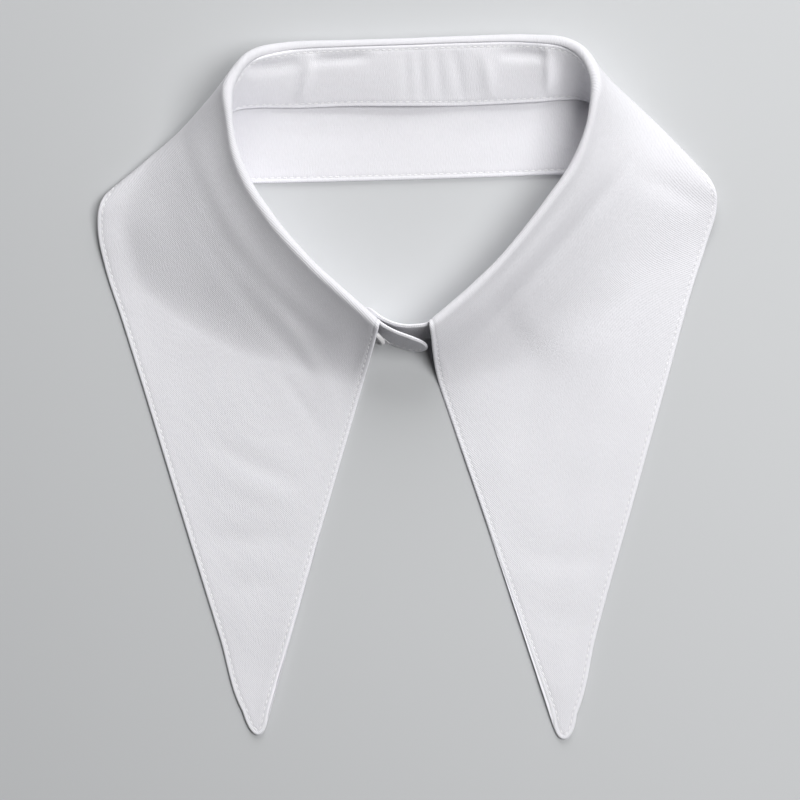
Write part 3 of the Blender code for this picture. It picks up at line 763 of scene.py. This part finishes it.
def make_button():
    mesh = bmesh.new()

    def circle(x, y, radius, height, count):
        turns = [2 * math.pi * k / count for k in range(count)]
        return [mesh.verts.new(button_point(x + radius * math.cos(a), y + radius * math.sin(a), height))
                for a in turns]

    def wall(one, two):
        for k in range(len(one)):
            n = (k + 1) % len(one)
            mesh.faces.new([one[k], one[n], two[n], two[k]])

    holes = [(i * HOLE_AT, j * HOLE_AT) for i in (1, -1) for j in (1, -1)]
    radii = [2.6, 3.0, 3.3, 3.5, 3.7, 3.9, 4.1, 4.3, 4.5, 4.65, 4.75, BUTTON_R]
    front = [circle(0, 0, r, dish(r), 48) for r in radii]
    back = [circle(0, 0, r, h, 48) for r, h in ((BUTTON_R, 0.9), (4.7, 0.35), (4.3, 0.05), (2.6, 0.0))]
    rings = front + back
    for one, two in zip(rings, rings[1:]):
        wall(one, two)
    tubes = []
    for x, y in holes:
        pair = [circle(x, y, HOLE_R, height, 16) for height in (dish(0), 0.0)]
        wall(*pair)
        tubes.append(pair)
    for side, ring in ((0, front[0]), (1, back[-1])):
        edges = []
        for loop in [ring] + [pair[side] for pair in tubes]:
            for a, b in zip(loop, loop[1:] + loop[:1]):
                edges.append(mesh.edges.get((a, b)) or mesh.edges.new((a, b)))
        bmesh.ops.triangle_fill(mesh, use_beauty=True, use_dissolve=False, edges=edges)
    bmesh.ops.recalc_face_normals(mesh, faces=mesh.faces)
    data = bpy.data.meshes.new("shirt_button")
    mesh.to_mesh(data)
    mesh.free()
    data.shade_smooth()
    data.set_sharp_from_angle(angle=math.radians(38))
    return link("shirt_button", data)


def tube_mesh(name, paths, radius, sides=8):
    """Round threads along paths of points in millimetres."""
    verts, faces = [], []
    for path in paths:
        path = np.array(path, dtype=float)
        lines = bisectors(path[:, None], 0)[:, 0]
        first = len(verts)
        for p, d in zip(path, lines):
            helper = np.array([0.0, 0.0, 1.0]) if abs(d[2]) < 0.8 else np.array([1.0, 0.0, 0.0])
            a = unit(np.cross(d, helper))
            b = np.cross(d, a)
            for k in range(sides):
                t = 2 * math.pi * k / sides
                verts.append(p + (a * math.cos(t) + b * math.sin(t)) * radius)
        for m in range(len(path) - 1):
            for k in range(sides):
                n = (k + 1) % sides
                faces.append((first + m * sides + k, first + m * sides + n,
                              first + (m + 1) * sides + n, first + (m + 1) * sides + k))
        faces.append(tuple(first + k for k in range(sides - 1, -1, -1)))
        faces.append(tuple(first + (len(path) - 1) * sides + k for k in range(sides)))
    mesh = bpy.data.meshes.new(name)
    mesh.from_pydata((np.array(verts) * MM).tolist(), [], faces)
    mesh.shade_smooth()
    return link(name, mesh)


button = make_button()
threads = []
for sign in (1, -1):
    for shift in (-0.16, 0.16):
        ends = np.array([[HOLE_AT, sign * HOLE_AT], [-HOLE_AT, -sign * HOLE_AT]])
        across = unit(np.array([ends[0][1] - ends[1][1], -(ends[0][0] - ends[1][0])]))
        path = []
        for t, height in ((0, -0.3), (0, 0.9), (0.12, 1.38), (0.5, 1.62), (0.88, 1.38), (1, 0.9), (1, -0.3)):
            x, y = ends[0] * (1 - t) + ends[1] * t + across * shift
            path.append(button_point(x, y, height) / MM)
        threads.append(path)
for k in range(5):
    a = 2 * math.pi * k / 5
    threads.append([button_point(0.5 * math.cos(a), 0.5 * math.sin(a), h) / MM for h in (-0.9, -0.3, 0.2)])
button_thread = tube_mesh("button_thread", threads, 0.15)
SLIT_START = -6.0     # where the buttonhole starts, from the button's middle
SLIT_PITCH = 0.27     # from one of its stitches to the next
hole_threads = []
for k in range(44):
    x = SLIT_START + k * SLIT_PITCH
    for sign in (1, -1):
        bar = ((0.10, -0.32), (0.25, -0.16), (0.9, -0.16), (1.0, -0.4))
        hole_threads.append([button_point(x, sign * y, height) / MM for y, height in bar])
buttonhole = tube_mesh("buttonhole_stitches", hole_threads, 0.13, 6)
print("button and", len(hole_threads), "buttonhole stitches")

# %% [markdown]
# ## Shared shader effects
#
# The four layers are the same cloth, so the weave, the fine unevenness of its tone, and the masks for a
# painted highlight along the turned edge and painted shade in the stitch groove are node groups. Each group
# gives a colour, a value or a height, and each material has its own copy of the settings. The weave reads
# lengths stored on the cloth, in millimetres, and not a picture.

# %% Node helpers
def group(name, inputs, outputs):
    tree = bpy.data.node_groups.new(name, "ShaderNodeTree")
    for label, kind, value in inputs:
        socket = tree.interface.new_socket(label, in_out="INPUT", socket_type=kind)
        if value is not None:
            socket.default_value = value
    for label, kind in outputs:
        tree.interface.new_socket(label, in_out="OUTPUT", socket_type=kind)
    return tree, tree.nodes.new("NodeGroupInput"), tree.nodes.new("NodeGroupOutput")


def math_node(tree, kind, *values):
    node = tree.nodes.new("ShaderNodeMath")
    node.operation = kind
    for k, value in enumerate(values):
        if isinstance(value, (int, float)):
            node.inputs[k].default_value = value
        else:
            tree.links.new(value, node.inputs[k])
    return node.outputs[0]


def times(tree, a, b):
    return math_node(tree, "MULTIPLY", a, b)


def plus(tree, a, b):
    return math_node(tree, "ADD", a, b)


def settle(node, **values):
    """Gives sockets their values; a socket is named as in Blender, with _ for a space."""
    for label, value in values.items():
        node.inputs[label.replace("_", " ")].default_value = value


def noise(tree, place, **values):
    node = tree.nodes.new("ShaderNodeTexNoise")
    settle(node, **values)
    tree.links.new(place, node.inputs["Vector"])
    return node


# %% Weave: a fine twill with slubs
def weave_group():
    """Height and tone of a fine twill: slanting ribs broken into short floats."""
    tree, inp, out = group("Fine twill", [("Place", "NodeSocketVector", None),
                                          ("Rib", "NodeSocketFloat", 0.42),
                                          ("Slant", "NodeSocketFloat", 1.0),
                                          ("Slub", "NodeSocketFloat", 0.5)],
                           [("Height", "NodeSocketFloat"), ("Tone", "NodeSocketFloat")])
    split = tree.nodes.new("ShaderNodeSeparateXYZ")
    tree.links.new(inp.outputs["Place"], split.inputs[0])
    x, y = split.outputs[0], split.outputs[1]
    wander = noise(tree, inp.outputs["Place"], Scale=0.6, Detail=2.0)
    shift = times(tree, wander.outputs["Fac"], inp.outputs["Slub"])
    slanted = plus(tree, times(tree, y, inp.outputs["Slant"]), x)
    phase = plus(tree, slanted, shift)
    turn = times(tree, math_node(tree, "DIVIDE", phase, inp.outputs["Rib"]), 2 * math.pi)
    rib = math_node(tree, "SINE", turn)
    across = times(tree, math_node(tree, "DIVIDE", x, inp.outputs["Rib"]), 2 * math.pi * 0.71)
    warp = math_node(tree, "SINE", across)
    both = plus(tree, times(tree, rib, 0.8), times(tree, warp, 0.08))
    stretch = tree.nodes.new("ShaderNodeMapping")
    settle(stretch, Rotation=(0, 0, math.radians(45)), Scale=(1.0, 0.22, 1.0))
    tree.links.new(inp.outputs["Place"], stretch.inputs["Vector"])
    grain = noise(tree, stretch.outputs["Vector"], Scale=2.4, Detail=3.0)
    level = math_node(tree, "SUBTRACT", grain.outputs["Fac"], 0.5)
    height = plus(tree, times(tree, both, 0.5), times(tree, level, 1.6))
    tree.links.new(height, out.inputs["Height"])
    tree.links.new(plus(tree, times(tree, level, 0.8),
                             times(tree, both, 0.12)), out.inputs["Tone"])
    return tree


# %% Painted highlight at the edge, painted shade at the stitches, and tone
def edge_group():
    """A mask that is 1 at the turned edge and fades inward, for painted highlight, and a mask along the
    stitch line, for painted shade in its groove.
    """
    tree, inp, out = group("Turned edge", [("Distance", "NodeSocketFloat", 0.0),
                                           ("Width", "NodeSocketFloat", 1.4),
                                           ("Stitch line", "NodeSocketFloat", 2.0)],
                           [("Edge", "NodeSocketFloat"), ("Groove", "NodeSocketFloat")])
    fade = tree.nodes.new("ShaderNodeMapRange")
    fade.interpolation_type = "SMOOTHSTEP"
    settle(fade, To_Min=1.0, To_Max=0.0)
    tree.links.new(inp.outputs["Distance"], fade.inputs["Value"])
    tree.links.new(inp.outputs["Width"], fade.inputs["From Max"])
    tree.links.new(fade.outputs[0], out.inputs["Edge"])
    away = math_node(tree, "ABSOLUTE", math_node(tree, "SUBTRACT", inp.outputs["Distance"],
                                                 inp.outputs["Stitch line"]))
    groove = math_node(tree, "SUBTRACT", 1.0, math_node(tree, "DIVIDE", away, 0.55))
    tree.links.new(math_node(tree, "MAXIMUM", groove, 0.0), out.inputs["Groove"])
    return tree


def tone_group():
    """Cloudy change of tone over a few centimetres, as washed and starched cloth has."""
    tree, inp, out = group("Washed tone", [("Place", "NodeSocketVector", None),
                                           ("Scale", "NodeSocketFloat", 0.035)],
                           [("Tone", "NodeSocketFloat")])
    cloud = noise(tree, inp.outputs["Place"], Detail=3.0)
    tree.links.new(inp.outputs["Scale"], cloud.inputs["Scale"])
    tree.links.new(math_node(tree, "SUBTRACT", cloud.outputs["Fac"], 0.5), out.inputs["Tone"])
    return tree


weave_tree, edge_tree, tone_tree = weave_group(), edge_group(), tone_group()
print("node groups:", weave_tree.name, edge_tree.name, tone_tree.name)

# %% [markdown]
# ## The cloth material
#
# Starched white cotton is nearly all diffuse, with a soft bloom at grazing angles from its fibres. So the
# shader is rough, has a light sheen of its own, and takes its colour and fine height from the groups.

# %% Materials
RIB = 0.8             # width of a twill rib
BUMP = 0.09           # height of the weave
WEAVE_TONE = 0.16     # how much each effect changes the colour
WASH_TONE = 0.035
# The next two brighten the turned edge as painted highlight and darken the stitch line as painted shade.
EDGE_PAINTED_HIGHLIGHT = 0.11
GROOVE_PAINTED_SHADE = 0.09


def cloth(name, colour, slant, stitch_in):
    """Starched cotton. `slant` is the way its ribs lean, +1 or -1."""
    material = bpy.data.materials.new(name)
    material.use_nodes = True
    tree = material.node_tree
    shader = tree.nodes["Principled BSDF"]
    settle(shader, Roughness=0.78, IOR=1.45, Specular_IOR_Level=0.3, Sheen_Weight=0.12, Sheen_Roughness=0.5)
    place = tree.nodes.new("ShaderNodeAttribute")
    place.attribute_name = "cloth_mm"
    near = tree.nodes.new("ShaderNodeAttribute")
    near.attribute_name = "edge_mm"

    def use(group_tree, **values):
        node = tree.nodes.new("ShaderNodeGroup")
        node.node_tree = group_tree
        settle(node, **values)
        return node

    weave = use(weave_tree, Rib=RIB, Slant=slant, Slub=0.5)
    tone = use(tone_tree, Scale=0.035)
    edge = use(edge_tree, Width=2.4, Stitch_line=stitch_in)
    tree.links.new(place.outputs["Vector"], weave.inputs["Place"])
    tree.links.new(place.outputs["Vector"], tone.inputs["Place"])
    tree.links.new(near.outputs["Fac"], edge.inputs["Distance"])
    change = plus(tree, times(tree, weave.outputs["Tone"], WEAVE_TONE),
                  times(tree, tone.outputs["Tone"], WASH_TONE))
    # Painted highlight on the turned edge, and painted shade along the stitch groove.
    change = plus(tree, change, times(tree, edge.outputs["Edge"], EDGE_PAINTED_HIGHLIGHT))
    change = math_node(tree, "SUBTRACT", change, times(tree, edge.outputs["Groove"], GROOVE_PAINTED_SHADE))
    scale = plus(tree, change, 1.0)
    mix = tree.nodes.new("ShaderNodeVectorMath")
    mix.operation = "SCALE"
    mix.inputs[0].default_value = colour
    tree.links.new(scale, mix.inputs["Scale"])
    tree.links.new(mix.outputs[0], shader.inputs["Base Color"])
    lift = tree.nodes.new("ShaderNodeBump")
    settle(lift, Strength=1.0, Distance=BUMP * MM)
    tree.links.new(weave.outputs["Height"], lift.inputs["Height"])
    tree.links.new(lift.outputs["Normal"], shader.inputs["Normal"])
    return material


def plain(name, colour, rough, sheen=0.0, coat=0.0):
    material = bpy.data.materials.new(name)
    material.use_nodes = True
    shader = material.node_tree.nodes["Principled BSDF"]
    settle(shader, Base_Color=(*colour, 1.0), Roughness=rough, Sheen_Weight=sheen, Coat_Weight=coat)
    return material


WHITE = (0.80, 0.795, 0.83)
# The inner stand is the same cloth as the other layers; its brighter white is painted light on its face.
INNER_STAND_PAINTED_LIGHT = (0.88, 0.875, 0.91)
upper.data.materials.append(cloth("upper_cloth", WHITE, 1.0, STITCH_IN))
under.data.materials.append(cloth("under_cloth", WHITE, -1.0, STITCH_IN))
inner.data.materials.append(cloth("inner_stand_cloth_painted_light", INNER_STAND_PAINTED_LIGHT, 1.0, STAND_STITCH))
outer.data.materials.append(cloth("outer_stand_cloth", WHITE, -1.0, STAND_STITCH))
thread = plain("cotton_thread", (0.92, 0.915, 0.93), 0.6, sheen=0.2)
for item in stitches + [button_thread, buttonhole]:
    item.data.materials.append(thread)
button.data.materials.append(plain("button_resin", (0.80, 0.79, 0.80), 0.18, coat=0.4))
print("materials on", len(stitches) + 7, "pieces")

# %% [markdown]
# ## Join the pieces to the frame
#
# Each piece rides with the collar, and the solids that the pieces stand for are hidden.

# %% Riding, and hiding the replaced solids
for item in [upper, under, inner, outer, button, button_thread, buttonhole] + stitches:
    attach(item, "root")
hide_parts("collar_upper")
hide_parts("collar_under")
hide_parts("stand_inner")
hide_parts("stand_outer")
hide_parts("button")

# %% [markdown]
# ## Table, light and camera
#
# The collar lies on a plain pale table under broad soft light from the right and the back. The camera looks
# down from just in front of it.

# %% Stage
Lamp = namedtuple("Lamp", "name turn height power")
LAMPS = [  # turn is degrees round from the right toward the back, height is degrees above the table
    Lamp("window", 45, 28, 1.5),
    Lamp("low_back", 90, 28, 8.8),
    Lamp("right", 0, 65, 11.9),
]
LAMP_SIZE = 0.7       # side of each square lamp, in metres
LAMP_AWAY = 1.2       # distance of each lamp from the collar


def area_light(lamp):
    data = bpy.data.lights.new(lamp.name, "AREA")
    data.shape = "SQUARE"
    data.size = LAMP_SIZE
    data.energy = lamp.power
    turn, height = math.radians(lamp.turn), math.radians(lamp.height)
    place = Vector((math.cos(turn) * math.cos(height), math.sin(turn) * math.cos(height), math.sin(height)))
    item = link(lamp.name, data)
    item.location = place * LAMP_AWAY
    item.rotation_euler = (-place).to_track_quat("-Z", "Y").to_euler()
    return item


floor_mesh = bpy.data.meshes.new("floor")
floor_mesh.from_pydata([(-3, -3, 0), (3, -3, 0), (3, 3, 0), (-3, 3, 0)], [], [(0, 1, 2, 3)])
floor = link("floor", floor_mesh)
floor.data.materials.append(plain("pale_table", (0.56, 0.57, 0.58), 0.7))
lamps = [area_light(lamp) for lamp in LAMPS]
world = bpy.data.worlds.new("room")
world.use_nodes = True
settle(world.node_tree.nodes["Background"], Color=(1.0, 1.0, 1.0, 1.0), Strength=0.01)
bpy.context.scene.world = world

DISTANCE = 0.95       # from the lens to the collar, in metres
ELEVATION = math.radians(84)
TARGET = Vector((-0.00278, -0.00619, 0.0))
camera_data = bpy.data.cameras.new("camera")
camera_data.sensor_width = 36
camera_data.lens = 112.5
camera_data.clip_start = 0.01
camera = link("camera", camera_data)
camera.location = TARGET + Vector((0, -math.cos(ELEVATION), math.sin(ELEVATION))) * DISTANCE
camera.rotation_euler = (TARGET - camera.location).to_track_quat("-Z", "Y").to_euler()
bpy.context.scene.camera = camera
bpy.context.scene.view_settings.view_transform = "Standard"
print("camera", [round(v, 4) for v in camera.location])
